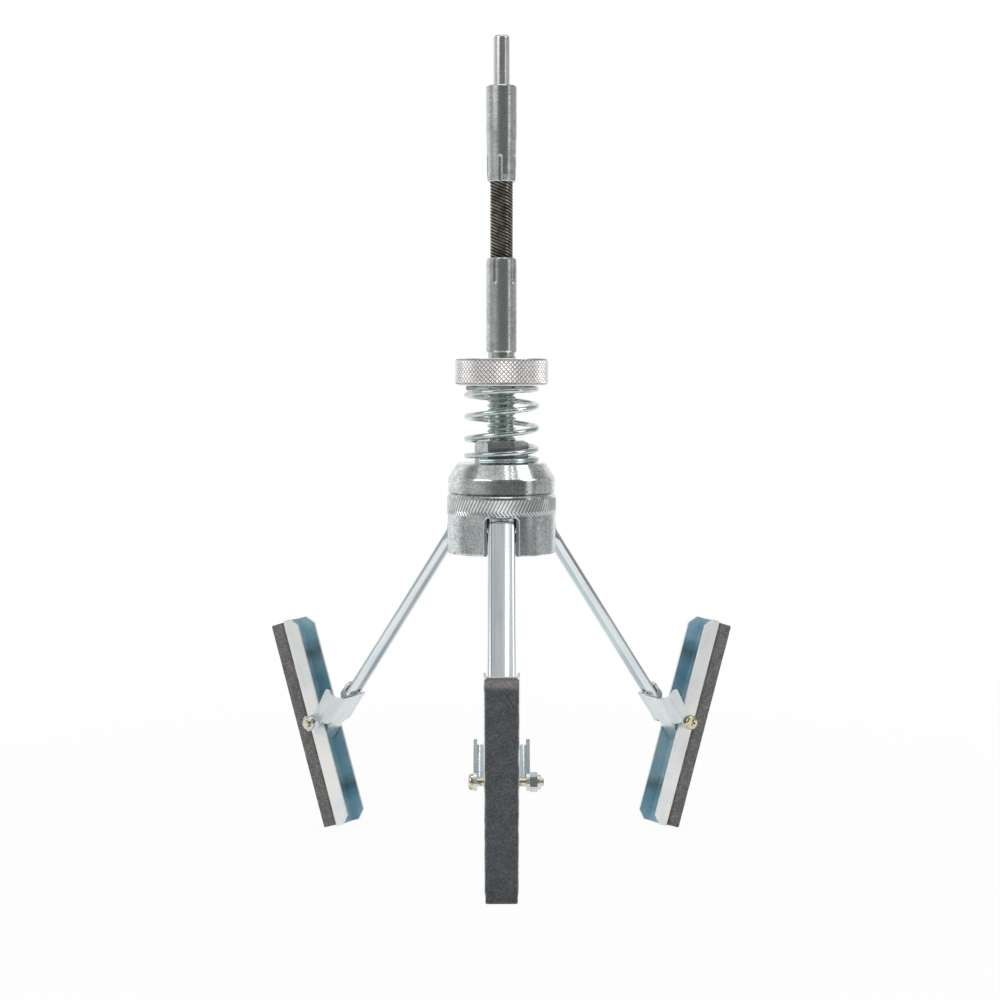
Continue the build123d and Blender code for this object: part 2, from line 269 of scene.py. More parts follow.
def outline(points):
    """An open line in X and Z: one corner of a plane, pulled from point to point."""
    deselect()
    bpy.ops.mesh.primitive_plane_add(size=MM, location=(0, 0, 0))
    piece = bpy.context.object
    bpy.ops.object.mode_set(mode="EDIT")
    pick(piece, "verts", lambda c: c.x < 0 or c.y < 0)
    bpy.ops.mesh.delete(type="VERT")
    bpy.ops.mesh.select_all(action="SELECT")
    x, z = points[0]
    bpy.ops.transform.translate(value=(x - MM / 2, -MM / 2, z))
    for next_x, next_z in points[1:]:
        bpy.ops.mesh.extrude_vertices_move(TRANSFORM_OT_translate={"value": (next_x - x, 0, next_z - z)})
        x, z = next_x, next_z
    bpy.ops.object.mode_set(mode="OBJECT")
    return piece


def wind(piece, turn, rise, steps, rounds=1):
    """Winds a section about the drive axis, climbing as it goes."""
    screw = piece.modifiers.new("winding", "SCREW")
    screw.axis = "Z"
    screw.angle = turn
    screw.screw_offset = rise
    screw.iterations = rounds
    screw.steps = steps
    screw.render_steps = steps
    apply_modifiers(piece)
    return piece


def round_wire(name, points, radius):
    """A round wire along a list of points, with closed ends."""
    curve = bpy.data.curves.new(name, "CURVE")
    curve.dimensions = "3D"
    curve.bevel_depth = radius
    curve.bevel_resolution = 3
    curve.use_fill_caps = True
    line = curve.splines.new("POLY")
    line.points.add(len(points) - 1)
    for knot, point in zip(line.points, points):
        knot.co = (*point, 1)
    wire = bpy.data.objects.new(name, curve)
    bpy.context.collection.objects.link(wire)
    take(wire)
    bpy.ops.object.convert(target="MESH")
    return close_up(bpy.context.object)


def holder_frame(angle):
    """The place of a stone carrier: X out of the stone, Z up along it."""
    turn = math.radians(angle)
    spot = Vector((PIVOT_R * math.cos(turn), PIVOT_R * math.sin(turn), PIVOT_Z))
    return spot, (0.0, TILT, turn)


def arm_frame(angle):
    """The place of an arm: X out of its outer face, Z up along it."""
    turn = math.radians(angle)
    spot = Vector((ARM_R * math.cos(turn), ARM_R * math.sin(turn), ARM_Z))
    return spot, (0.0, -ARM_ANGLE, turn)


# finishes

def math_node(tree, operation, a, b):
    """A sum, product or other result of two values, each a socket or a number."""
    node = tree.nodes.new("ShaderNodeMath")
    node.operation = operation
    for value, socket in zip((a, b), node.inputs):
        if isinstance(value, (int, float)):
            socket.default_value = value
        else:
            tree.links.new(value, socket)
    return node.outputs[0]


class Finish:
    """A material and the few ways of building a pattern for it."""

    def __init__(self, name, metallic=1.0, roughness=0.3, where=None):
        self.material = bpy.data.materials.new(name)
        self.material.use_nodes = True
        self.nodes = self.material.node_tree.nodes
        self.links = self.material.node_tree.links
        self.shader = self.nodes["Principled BSDF"]
        self.shader.inputs["Metallic"].default_value = metallic
        self.shader.inputs["Roughness"].default_value = roughness
        self.coordinate = self.nodes.new("ShaderNodeTexCoord")
        self.point = self.coordinate.outputs["Object"]
        if where:
            settle = self.nodes.new("ShaderNodeMapping")
            settle.vector_type = "TEXTURE"
            settle.inputs["Location"].default_value = where[0]
            settle.inputs["Rotation"].default_value = where[1]
            self.links.new(self.point, settle.inputs["Vector"])
            self.point = settle.outputs["Vector"]

    def stretched(self, x, y, z):
        """The point with each axis scaled, for patterns that run one way."""
        scale = self.nodes.new("ShaderNodeMapping")
        scale.inputs["Scale"].default_value = (x, y, z)
        self.links.new(self.point, scale.inputs["Vector"])
        return scale.outputs["Vector"]

    def noise(self, scale, detail, roughness=0.55, distortion=0.0, point=None):
        """A cloudy value, finer the higher its scale is."""
        texture = self.nodes.new("ShaderNodeTexNoise")
        texture.inputs["Scale"].default_value = scale
        texture.inputs["Detail"].default_value = detail
        texture.inputs["Roughness"].default_value = roughness
        texture.inputs["Distortion"].default_value = distortion
        self.links.new(point or self.point, texture.inputs["Vector"])
        return texture.outputs["Fac"]

    def cells(self, scale):
        """Crystal spangle: one grey value per cell."""
        texture = self.nodes.new("ShaderNodeTexVoronoi")
        texture.inputs["Scale"].default_value = scale
        self.links.new(self.point, texture.inputs["Vector"])
        split = self.nodes.new("ShaderNodeSeparateColor")
        self.links.new(texture.outputs["Color"], split.inputs["Color"])
        return split.outputs["Red"]

    def specks(self, scale):
        """Distance to the nearest speck's middle."""
        texture = self.nodes.new("ShaderNodeTexVoronoi")
        texture.inputs["Scale"].default_value = scale
        self.links.new(self.point, texture.inputs["Vector"])
        return texture.outputs["Distance"]

    def maths(self, operation, a, b):
        """A sum, product or other result, in this material."""
        return math_node(self.material.node_tree, operation, a, b)

    def size(self, value):
        """A value without its sign."""
        return self.maths("ABSOLUTE", value, 0)

    def total(self, *shares):
        """A sum of values, each with its own weight."""
        result = 0.0
        for value, weight in shares:
            result = self.maths("ADD", result, self.maths("MULTIPLY", value, weight))
        return result

    def reach(self):
        """Distance from the drive axis."""
        squares = [self.maths("POWER", self.size(self.axis(c)), 2) for c in "XY"]
        return self.maths("SQRT", self.maths("ADD", *squares), 0)

    def axis(self, letter):
        """The point's X, Y or Z."""
        split = self.nodes.new("ShaderNodeSeparateXYZ")
        self.links.new(self.point, split.inputs[0])
        return split.outputs[letter]

    def level(self, value, start, end, to_start=0.0, to_end=1.0):
        """A value spread from one range to another, and held at its ends."""
        node = self.nodes.new("ShaderNodeMapRange")
        node.inputs["From Min"].default_value = start
        node.inputs["From Max"].default_value = end
        node.inputs["To Min"].default_value = to_start
        node.inputs["To Max"].default_value = to_end
        self.links.new(value, node.inputs["Value"])
        return node.outputs["Result"]

    def ramp(self, value, *stops):
        """A colour for a value, between stops that each have a place and a colour."""
        node = self.nodes.new("ShaderNodeValToRGB")
        ramp = node.color_ramp
        while len(ramp.elements) < len(stops):
            ramp.elements.new(0.5)
        for element, (place_on_ramp, colour) in zip(ramp.elements, stops):
            element.position = place_on_ramp
            element.color = (*colour, 1.0)
        self.links.new(value, node.inputs["Fac"])
        return node.outputs["Color"]

    def blend(self, share, a, b, kind="MIX"):
        """One colour turned into another by a share of 0 to 1."""
        node = self.nodes.new("ShaderNodeMix")
        node.data_type = "RGBA"
        node.blend_type = kind
        for value, socket in ((share, node.inputs[0]), (a, node.inputs[6]), (b, node.inputs[7])):
            if isinstance(value, (int, float)):
                socket.default_value = value
            elif isinstance(value, tuple):
                socket.default_value = (*value, 1.0)
            else:
                self.links.new(value, socket)
        return node.outputs[2]

    def colour(self, value):
        """Makes a value the surface's colour."""
        self.links.new(value, self.shader.inputs["Base Color"])

    def roughness(self, value):
        """Makes a value the surface's roughness."""
        self.links.new(value, self.shader.inputs["Roughness"])

    def bump(self, *layers):
        """Each layer is a height, a strength and a depth in metres."""
        normal = None
        for height, strength, depth in layers:
            node = self.nodes.new("ShaderNodeBump")
            node.inputs["Strength"].default_value = strength
            node.inputs["Distance"].default_value = depth
            self.links.new(height, node.inputs["Height"])
            if normal:
                self.links.new(normal, node.inputs["Normal"])
            normal = node.outputs["Normal"]
        self.links.new(normal, self.shader.inputs["Normal"])


def dull_zinc(
    name, dark, light, fleck, streak, rough=(0.13, 0.3), groove_shade=None, tooth=1.0, metallic=1.0, drawn=1.6,
):
    """Satin zinc plate: mottled flecks, bright grains and faint turning marks.

    groove_shade: where the painted shade in the grooves, and their greater roughness, turn to plain, out
    from the axis, and how dark the painted shade is at their bottom.
    tooth: the depth of the marks. drawn: below 1, the mottling runs along the axis.
    """
    f = Finish(name, metallic)
    mottle = f.noise(fleck, 3, 0.6, 0.0, f.stretched(1, 1, 1.3))
    drift = f.noise(150, 4, 0.65, 0.0, f.stretched(1, 1, drawn))
    grain = f.cells(1700)
    turning = f.noise(30, 2, 0.5, 0, f.stretched(1, 1, 160))
    tone = f.total((mottle, 0.45), (drift, 0.5), (turning, streak * 0.3), (grain, 0.12))
    middle = tuple((a + b) / 2 for a, b in zip(dark, light))
    body = f.ramp(tone, (0.44, dark), (0.57, middle), (0.72, light))
    rough_tone = f.level(tone, 0.44, 0.74, rough[1], rough[0])
    # painted shade: the colour darkens towards the bottom of the grooves and turns plain further out and
    # further in; the grooves are also rougher
    if groove_shade:
        start, end, painted_shade_level = groove_shade
        away = f.reach()
        within = f.level(away, start - 0.2 * MM, start - 0.3 * MM)
        depth = f.maths("MAXIMUM", f.level(away, start, end), within)
        body = f.blend(depth, tuple(v * painted_shade_level for v in dark), body)
        rough_tone = f.maths("MULTIPLY", rough_tone, f.level(depth, 0, 1, 1.6, 1.0))
    f.colour(body)
    f.roughness(rough_tone)
    f.bump(
        (turning, 0.2 * tooth, 0.03 * MM), (mottle, 0.3 * tooth, 0.05 * MM),
        (grain, 0.22 * tooth, 0.025 * MM),
    )
    return f.material


def blue_zinc(name, where, dark, light, rough=(0.07, 0.13), lined=0.45, shade_lines=(), metallic=1.0):
    """Bright blue-white zinc plate on rolled sheet: soft clouds, faint lengthwise lines, and dark
    lengthwise lines of painted shade at the places given.
    """
    f = Finish(name, metallic, where=where)
    lines = f.noise(900, 2, 0.5, 0.0, f.stretched(1, 1, 0.03))
    cloud = f.noise(90, 3, 0.55, 0.0, f.stretched(1, 1, 0.35))
    tone = f.total((lines, lined), (cloud, 0.95 - lined))
    body = f.ramp(tone, (0.35, dark), (0.65, light))
    play = f.ramp(cloud, (0.35, (0.9, 0.96, 1.0)), (0.5, (1.0, 0.98, 0.97)), (0.65, (0.93, 1.0, 0.99)))
    body = f.blend(0.7, body, play, "MULTIPLY")
    # painted shade: a dark line along the sheet at each given place
    for line, width, shade in shade_lines:
        away = f.size(f.maths("SUBTRACT", f.axis("Y"), line))
        mark = f.level(away, 0.6 * width, 0.3 * width, 0.0, shade)
        body = f.blend(mark, body, tuple(v * 0.3 for v in dark))
    f.colour(body)
    f.roughness(f.level(tone, 0.35, 0.7, rough[1], rough[0]))
    f.bump((lines, 0.12 * lined, 0.02 * MM), (f.noise(900, 2), 0.03, 0.01 * MM))
    return f.material


def bright_steel():
    """Ground bar: fine lines round it and faint handling marks along it."""
    f = Finish("bright_ground_steel")
    lines = f.noise(40, 2, 0.5, 0, f.stretched(1, 1, 120))
    wear = f.noise(260, 4, 0.6, 0.3, f.stretched(1, 1, 0.15))
    tone = f.maths("ADD", lines, f.maths("MULTIPLY", wear, 0.5))
    f.colour(f.ramp(tone, (0.4, (0.46, 0.47, 0.47)), (1.0, (0.78, 0.79, 0.79))))
    f.roughness(f.level(wear, 0.3, 0.7, 0.16, 0.3))
    f.bump((lines, 0.15, 0.02 * MM), (wear, 0.08, 0.02 * MM))
    return f.material


def spring_zinc():
    """Drawn wire under blue-white zinc."""
    f = Finish("spring_wire_zinc")
    draw = f.noise(500, 3, 0.5, 0.3)
    tint = f.noise(110, 3, 0.5, 0.5)
    f.colour(f.ramp(tint, (0.3, (0.34, 0.43, 0.44)), (0.5, (0.54, 0.59, 0.59)), (0.7, (0.72, 0.74, 0.73))))
    f.roughness(f.level(draw, 0.3, 0.7, 0.07, 0.14))
    f.bump((draw, 0.12, 0.02 * MM))
    return f.material


def oiled_wire():
    """Blackened steel wire in random brown tones, with painted shade near black in the gaps between the
    turns and a painted highlight as the lighter colour along each wire's crest.
    """
    f = Finish("oiled_black_wire", 1.0, 0.2)
    stain = f.noise(240, 4, 0.6, 0.5)
    body = f.ramp(stain, (0.36, (0.15, 0.13, 0.11)), (0.52, (0.3, 0.27, 0.235)), (0.68, (0.48, 0.45, 0.41)))
    # painted shade near black between the turns; painted highlight: the lighter colours only on each wire's
    # crest
    crest_light_gap_shade = f.level(f.reach(), SHAFT_R - 0.26 * MM, SHAFT_R - 0.05 * MM)
    f.colour(f.blend(crest_light_gap_shade, (0.026, 0.021, 0.017), body))
    f.roughness(f.level(stain, 0.3, 0.7, 0.1, 0.2))
    f.bump((f.noise(1500, 2), 0.05, 0.02 * MM))
    return f.material


def yellow_zinc():
    """Yellow passivated screw, playing from green to rose."""
    f = Finish("yellow_zinc_screw", 1.0, 0.3)
    tint = f.noise(640, 3, 0.65, 0.5)
    green, straw, rose = (0.2, 0.21, 0.1), (0.66, 0.63, 0.42), (0.72, 0.66, 0.56)
    f.colour(f.ramp(tint, (0.34, green), (0.5, straw), (0.66, rose)))
    f.roughness(f.level(tint, 0.3, 0.7, 0.24, 0.1))
    f.bump((f.noise(1800, 2), 0.15, 0.02 * MM))
    return f.material


def stone_grit(name, where):
    """Bonded grit: dark grains, pale specks, worn paler borders and brown rims near the glue."""
    f = Finish(name, 0.0, 0.92, where=where)
    grain = f.cells(1800)
    cloud = f.noise(160, 5, 0.7, 0.4)
    tone = f.total((grain, 0.5), (cloud, 0.6))
    black, grey, pale = (0.066, 0.074, 0.081), (0.1, 0.11, 0.118), (0.17, 0.18, 0.188)
    body = f.ramp(tone, (0.25, black), (0.55, grey), (0.85, pale))
    speck = f.level(f.specks(1100), 0.16, 0.1)
    keep = f.level(f.cells(1100), 0.72, 0.78)
    body = f.blend(f.maths("MULTIPLY", speck, keep), body, (0.36, 0.38, 0.4))
    wander = f.maths("MULTIPLY", cloud, 1.0 * MM)
    across = f.maths("ADD", f.size(f.axis("Y")), wander)
    along = f.maths("ADD", f.size(f.axis("Z")), wander)
    half_width, half_length = STONE_SIZE[1] / 2, STONE_SIZE[2] / 2
    side = f.level(across, half_width - 0.05 * MM, half_width + 0.45 * MM)
    end = f.level(along, half_length - 1.1 * MM, half_length - 0.1 * MM)
    border = f.maths("MULTIPLY", f.maths("MAXIMUM", side, end), 0.75)
    dusty, plain, rubbed = (0.16, 0.158, 0.152), (0.23, 0.226, 0.218), (0.35, 0.345, 0.335)
    worn = f.ramp(tone, (0.3, dusty), (0.55, plain), (0.8, rubbed))
    body = f.blend(border, body, worn)
    rim = f.level(f.maths("ADD", f.axis("X"), wander), CARRIER_OUT + 2 * MM, CARRIER_OUT + MM)
    f.colour(f.blend(f.maths("MULTIPLY", rim, 0.6), body, (0.13, 0.1, 0.07)))
    f.bump((grain, 0.5, 0.12 * MM), (f.noise(5200, 2), 0.35, 0.06 * MM))
    return f.material


def glue_line(name, where):
    """Amber glue squeezed out along the stone."""
    f = Finish(name, 0.0, 0.45, where=where)
    tint = f.noise(260, 4, 0.6, 0.5)
    brown, amber, pale = (0.06, 0.052, 0.043), (0.13, 0.115, 0.095), (0.24, 0.225, 0.2)
    f.colour(f.ramp(tint, (0.35, brown), (0.5, amber), (0.65, pale)))
    f.roughness(f.level(tint, 0.3, 0.7, 0.6, 0.32))
    f.bump((f.noise(900, 3), 0.4, 0.1 * MM))
    return f.material


def carrier_zinc(name, where):
    """Folded sheet: pale zinc outside, blued by heat inside the channel, with two smoky patches."""
    f = Finish(name, where=where)
    streaks = f.noise(700, 3, 0.5, 0.0, f.stretched(1, 1, 0.05))
    cloud = f.noise(70, 3, 0.6, 0.0)
    tone = f.total((streaks, 0.3), (cloud, 0.7))
    violet, white, straw = (0.8, 0.83, 0.84), (0.89, 0.91, 0.9), (0.93, 0.93, 0.9)
    outside = f.ramp(tone, (0.35, violet), (0.5, white), (0.65, straw))
    inside = f.ramp(cloud, (0.35, (0.3, 0.54, 0.67)), (0.5, (0.42, 0.65, 0.74)), (0.66, (0.6, 0.77, 0.81)))
    spot = f.size(f.maths("SUBTRACT", f.size(f.axis("Z")), SMOKE_AT))
    smoke = f.level(f.total((spot, 1.0), (cloud, 8 * MM)), 3.5 * MM, 9.5 * MM, 0.7, 0.0)
    inside = f.blend(smoke, inside, (0.12, 0.19, 0.23))
    in_width = f.level(f.size(f.axis("Y")), CHANNEL_HALF, CHANNEL_HALF - 0.1 * MM)
    in_depth = f.level(f.axis("X"), CHANNEL_OUT, CHANNEL_OUT - 0.1 * MM)
    hollow = f.maths("MULTIPLY", in_width, in_depth)
    f.colour(f.blend(hollow, outside, inside))
    f.links.new(f.level(hollow, 0, 1, 0.7, 0.25), f.shader.inputs["Metallic"])
    f.roughness(f.level(tone, 0.3, 0.75, 0.44, 0.3))
    f.bump((streaks, 0.1, 0.03 * MM), (f.noise(1500, 2), 0.08, 0.015 * MM))
    return f.material


# pieces of the drive

def flexible_shaft():
    """Eight wires wound left-handed side by side."""
    deselect()
    bpy.ops.mesh.primitive_circle_add(
        vertices=10, radius=WIRE_R, location=(SHAFT_R - WIRE_R, 0, SHAFT_BOTTOM),
        rotation=(math.pi / 2, 0, 0),
    )
    wire = place(bpy.context.object)
    wind(wire, -FULL_TURN, WIRES * WIRE_PITCH, 40, SHAFT_TURNS)
    close_up(wire)
    wires = [wire] + [turned_copy(wire, FULL_TURN * number / WIRES) for number in range(1, WIRES)]
    shaft = finish(join(wires), "wound_shaft", oiled_wire())
    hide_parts("flexible_shaft")
    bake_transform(shaft)


def threaded_spindle():
    """Neck and root of the spindle with a wound triangular thread."""
    core = outline([
        (CORE_R, FERRULE_BOTTOM + CORE_REACH), (CORE_R, FERRULE_BOTTOM), (NECK_R, FERRULE_BOTTOM),
        (NECK_R, THREAD_TOP), (THREAD_ROOT, THREAD_TOP - 0.4 * MM), (THREAD_ROOT, THREAD_TOP - 2 * MM),
    ])
    close_up(wind(core, FULL_TURN, 0, 48))
    foot = THREAD_TOP - 0.6 * MM - THREAD_PITCH * THREAD_TURNS
    flat = 0.12 * THREAD_PITCH
    thread = outline([
        (THREAD_ROOT, foot), (THREAD_ROOT, foot + flat), (THREAD_R, foot + THREAD_PITCH / 2 - flat / 4),
        (THREAD_R, foot + THREAD_PITCH / 2 + flat), (THREAD_ROOT, foot + THREAD_PITCH),
    ])
    close_up(wind(thread, FULL_TURN, THREAD_PITCH, 40, THREAD_TURNS))
    spindle = finish(join([core, thread]), "threaded_spindle", spindle_zinc, 20)
    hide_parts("spindle")
    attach(spindle, "head")


def knurled_nut():
    """Round nut with a diamond knurl: a grid poked, turned to diamonds, and poked again."""
    plain, chamfer, edge = 0.9 * MM, 0.6 * MM, 0.1 * MM
    top, bottom = NUT_TOP - plain, NUT_BOTTOM + plain
    rows = [(NUT_VALLEY, top + (bottom - top) * n / NUT_ROWS) for n in range(NUT_ROWS + 1)]
    nut = outline([
        (NUT_BORE, NUT_TOP - chamfer), (NUT_BORE + chamfer, NUT_TOP), (NUT_RIM - 2 * edge, NUT_TOP),
        (NUT_RIM + edge, NUT_TOP - edge), *rows, (NUT_RIM + edge, NUT_BOTTOM + edge),
        (NUT_RIM - 2 * edge, NUT_BOTTOM), (NUT_BORE + chamfer, NUT_BOTTOM),
        (NUT_BORE, NUT_BOTTOM + chamfer), (NUT_BORE, NUT_TOP - chamfer),
    ])
    close_up(wind(nut, FULL_TURN, 0, NUT_KNURLS))
    bpy.ops.object.mode_set(mode="EDIT")
    inside = NUT_VALLEY - 0.05 * MM
    pick(nut, "faces", lambda c: math.hypot(c.x, c.y) > inside and bottom < c.z < top)
    bpy.ops.mesh.poke(offset=0)
    bpy.ops.mesh.tris_convert_to_quads(face_threshold=math.pi, shape_threshold=math.pi)
    bpy.ops.mesh.poke(offset=KNURL_DEPTH)
    bpy.ops.object.mode_set(mode="OBJECT")
    finish(nut, "knurled_tension_nut", nut_zinc, 12)
    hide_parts("tension_nut")
    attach(nut, "nut")


# Turns of the coil from its right-hand side downwards, and the wire's height there in millimetres.
# Between turns 1 and 2.5 the pitch is even.
COIL = [
    (-0.45, -134.68), (-0.3, -134.72), (0.0, -134.95), (0.25, -135.7), (0.5, -137.6), (0.75, -140.0),
    (1.0, -142.6), (2.5, -157.6), (2.75, -160.0), (3.0, -162.15), (3.25, -163.8), (3.5, -165.2),
    (3.75, -166.3), (4.0, -166.85), (4.2, -166.98), (4.35, -167.0),
]
COIL_MIDDLE = 1.825


def coil_height(turn):
    """The wire's height at one turn, on straight lines between the turns that are given."""
    for (a, height_a), (b, height_b) in zip(COIL, COIL[1:]):
        if turn <= b:
            return (height_a + (height_b - height_a) * (turn - a) / (b - a)) * MM
    return COIL[-1][1] * MM


def coil_half(name, first, last):
    """Part of the coil, from one turn to another, that flattens towards the middle of the spring."""
    steps = round((last - first) * 32)
    points = []
    for n in range(steps + 1):
        turn = first + (last - first) * n / steps
        near = [min(max(turn + d, COIL[0][0]), COIL[-1][0]) for d in (-0.12, -0.06, 0, 0.06, 0.12)]
        height = sum(coil_height(t) for t in near) / len(near)
        angle = -FULL_TURN * turn
        points.append((SPRING_R * math.cos(angle), SPRING_R * math.sin(angle), height))
    coil = finish(round_wire(name, points, SPRING_WIRE_R), name, wire_zinc, 60)
    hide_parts("tension_spring")
    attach(coil, "head")
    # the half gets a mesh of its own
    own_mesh(coil)


# pieces of the head

def ridged_band(bottom, height, turn):
    """A ring of slanting ridges round the housing."""
    deselect()
    bpy.ops.mesh.primitive_circle_add(vertices=2 * BAND_RIDGES, radius=BAND_VALLEY, location=(0, 0, bottom))
    band = place(bpy.context.object)
    bpy.ops.object.mode_set(mode="EDIT")
    step = math.pi / BAND_RIDGES
    pick(band, "verts", lambda c: round(math.atan2(c.y, c.x) / step) % 2 == 0)
    share = BAND_CREST / BAND_VALLEY
    bpy.ops.transform.resize(value=(share, share, 1), center_override=(0, 0, bottom))
    bpy.ops.object.mode_set(mode="OBJECT")
    wind(band, turn, height, 7)
    inner, outer = 0.985, BAND_VALLEY * 0.995
    bpy.ops.object.mode_set(mode="EDIT")
    for level in (bottom, bottom + height):
        pick(band, "edges", lambda c: abs(c.z - level) < 0.01 * MM and math.hypot(c.x, c.y) > outer)
        bpy.ops.mesh.extrude_region_move(TRANSFORM_OT_translate={"value": (0, 0, 0)})
        bpy.ops.transform.resize(value=(inner, inner, 1), center_override=(0, 0, level))
    pick(band, "edges", lambda c: math.hypot(c.x, c.y) < BAND_CREST * inner)
    bpy.ops.mesh.bridge_edge_loops()
    bpy.ops.object.mode_set(mode="OBJECT")
    return close_up(band)


def knurled_band():
    """Slanting ridges above, and short ones slanting back along the lower edge."""
    upper = ridged_band(BAND_CREASE, BAND_TOP - BAND_CREASE, BAND_SLANT)
    lower = ridged_band(BAND_BOTTOM, BAND_CREASE - BAND_BOTTOM, BAND_BACK_SLANT)
    band = finish(join([upper, lower]), "housing_knurl", band_zinc, 12)
    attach(band, "head")


def slot_lips():
    """The rounded edge of each arm's slot."""
    path = [(-POCKET_HALF, LIP_FOOT), (-POCKET_HALF, SLOT_TOP - POCKET_ROUND)]
    for n in range(1, 9):
        turn = math.radians(180 - 90 * n / 8)
        y = -POCKET_HALF + POCKET_ROUND * (1 + math.cos(turn))
        path.append((y, SLOT_TOP - POCKET_ROUND * (1 - math.sin(turn))))
    path += [(-y, z) for y, z in reversed(path)]
    points = [(math.sqrt(LIP_AXIS_R ** 2 - y ** 2), y, z) for y, z in path]
    first = round_wire("slot_lip", points, LIP_R)
    lips = [turned_copy(first, math.radians(angle)) for angle in ARMS.values()]
    take(first)
    bpy.ops.object.delete()
    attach(finish(join(lips), "slot_lips", band_zinc, 60), "head")


# pieces of the stone holders

def rough_block(size, middle, voxel, wear, wear_size, corner):
    """A block with worn corners and a gritty surface, in the frame of the front stone carrier."""
    deselect()
    bpy.ops.mesh.primitive_cube_add(size=1, location=middle)
    block = bpy.context.object
    block.scale = size
    place(block)
    bpy.ops.object.mode_set(mode="EDIT")
    bpy.ops.mesh.select_all(action="SELECT")
    bpy.ops.mesh.bevel(offset=corner, segments=3, affect="EDGES")
    bpy.ops.object.mode_set(mode="OBJECT")
    block.data.remesh_voxel_size = voxel
    bpy.ops.object.voxel_remesh()
    grit = bpy.data.textures.new("grit", "CLOUDS")
    grit.noise_scale = wear_size
    roughen = block.modifiers.new("roughen", "DISPLACE")
    roughen.texture = grit
    roughen.texture_coords = "LOCAL"
    roughen.strength = wear
    roughen.mid_level = 0.5
    apply_modifiers(block)
    return block


def stone_and_glue(arm, angle):
    """One abrasive stone and the glue that holds it."""
    spot, turn = holder_frame(angle)
    thick, wide, tall = STONE_SIZE
    stone = rough_block(
        (thick - STONE_WEAR, wide - STONE_WEAR, tall - STONE_WEAR), (CARRIER_OUT + thick / 2, 0, 0),
        voxel=0.5 * MM, wear=0.12 * MM, wear_size=7.0 * MM, corner=0.6 * MM,
    )
    stone.location, stone.rotation_euler = spot, turn
    grit = stone_grit(f"stone_grit_{arm}", (spot, turn))
    finish(place(stone), f"rough_stone_{arm}", grit, 40)
    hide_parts(f"stone_{arm}")
    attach(stone, f"{arm}_holder")
    glue = rough_block(
        GLUE_SIZE, (CARRIER_OUT + 0.05 * MM, 0, 0),
        voxel=0.45 * MM, wear=0.6 * MM, wear_size=5.5 * MM, corner=0.4 * MM,
    )
    glue.location, glue.rotation_euler = spot, turn
    finish(place(glue), f"glue_line_{arm}", glue_line(f"amber_glue_{arm}", (spot, turn)), 60)
    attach(glue, f"{arm}_holder")


# the solids that show

def dress(node, material):
    """Gives a solid its finish."""
    mesh = frame["nodes"][node].data
    mesh.materials.clear()
    mesh.materials.append(material)


# metals that several pieces share

ferrule_zinc = dull_zinc(
    "ferrule_zinc", (0.36, 0.385, 0.37), (0.69, 0.72, 0.7), fleck=1300, streak=0.25, rough=(0.19, 0.31),
    tooth=0.4,
)
# the nut's knurl grooves get painted shade
nut_zinc = dull_zinc(
    "nut_zinc", (0.88, 0.87, 0.85), (0.97, 0.95, 0.93), fleck=1500, streak=0.1, rough=(0.2, 0.32),
    groove_shade=(NUT_VALLEY + 0.01 * MM, NUT_VALLEY + 0.11 * MM, 0.16), metallic=0.75,
)
cap_zinc = dull_zinc(
    "cap_zinc", (0.3, 0.32, 0.325), (0.86, 0.89, 0.88), fleck=900, streak=0.45, rough=(0.1, 0.2),
    tooth=0.8,
)
housing_zinc = dull_zinc(
    "housing_zinc", (0.25, 0.28, 0.28), (0.8, 0.85, 0.85), fleck=850, streak=0.4, rough=(0.1, 0.2),
    tooth=0.6, drawn=0.3,
)
# the housing knurl's grooves get painted shade
band_zinc = dull_zinc(
    "band_zinc", (0.6, 0.62, 0.62), (0.88, 0.9, 0.9), fleck=1500, streak=0.1, rough=(0.24, 0.36),
    groove_shade=(BAND_VALLEY + 0.01 * MM, BAND_VALLEY + 0.17 * MM, 0.22), metallic=0.8,
)
bush_zinc = dull_zinc("bush_zinc", (0.24, 0.26, 0.26), (0.66, 0.68, 0.67), fleck=1100, streak=0.3)
spindle_zinc = dull_zinc(
    "spindle_zinc", (0.38, 0.44, 0.425), (0.6, 0.66, 0.635), fleck=700, streak=0.2, rough=(0.18, 0.3),
    tooth=0.2,
)
wire_zinc = spring_zinc()
shank_steel = bright_steel()
screw_yellow = yellow_zinc()

# making the pieces

flexible_shaft()
threaded_spindle()
knurled_nut()
coil_half("coil_upper", COIL[0][0], COIL_MIDDLE)
coil_half("coil_lower", COIL_MIDDLE, COIL[-1][0])
knurled_band()
slot_lips()
for arm, angle in ARMS.items():
    stone_and_glue(arm, angle)

# dressing the solids

dress("shank", shank_steel)
dress("upper_ferrule", ferrule_zinc)
dress("lower_ferrule", ferrule_zinc)
dress("guide_bush", bush_zinc)
dress("pressure_cap", cap_zinc)
dress("housing", housing_zinc)
for arm, angle in ARMS.items():
    place_of_arm = arm_frame(angle)
    # the arms' finish has painted shade lines along them
    dress(f"arm_{arm}", blue_zinc(
        f"arm_zinc_{arm}", place_of_arm, (0.64, 0.69, 0.71), (0.8, 0.84, 0.86), shade_lines=PAINTED_SHADE_LINES,
    ))
    dress(f"bracket_{arm}", blue_zinc(
        f"bracket_zinc_{arm}", place_of_arm, (0.68, 0.73, 0.74), (0.82, 0.87, 0.88), rough=(0.2, 0.3),
        lined=0.12, metallic=0.75,
    ))
    dress(f"arm_pin_{arm}", housing_zinc)
    dress(f"pivot_screw_{arm}", screw_yellow)
    dress(f"pivot_nut_{arm}", shank_steel)
    dress(f"stone_carrier_{arm}", carrier_zinc(f"carrier_zinc_{arm}", holder_frame(angle)))


# floor, background, lights and camera

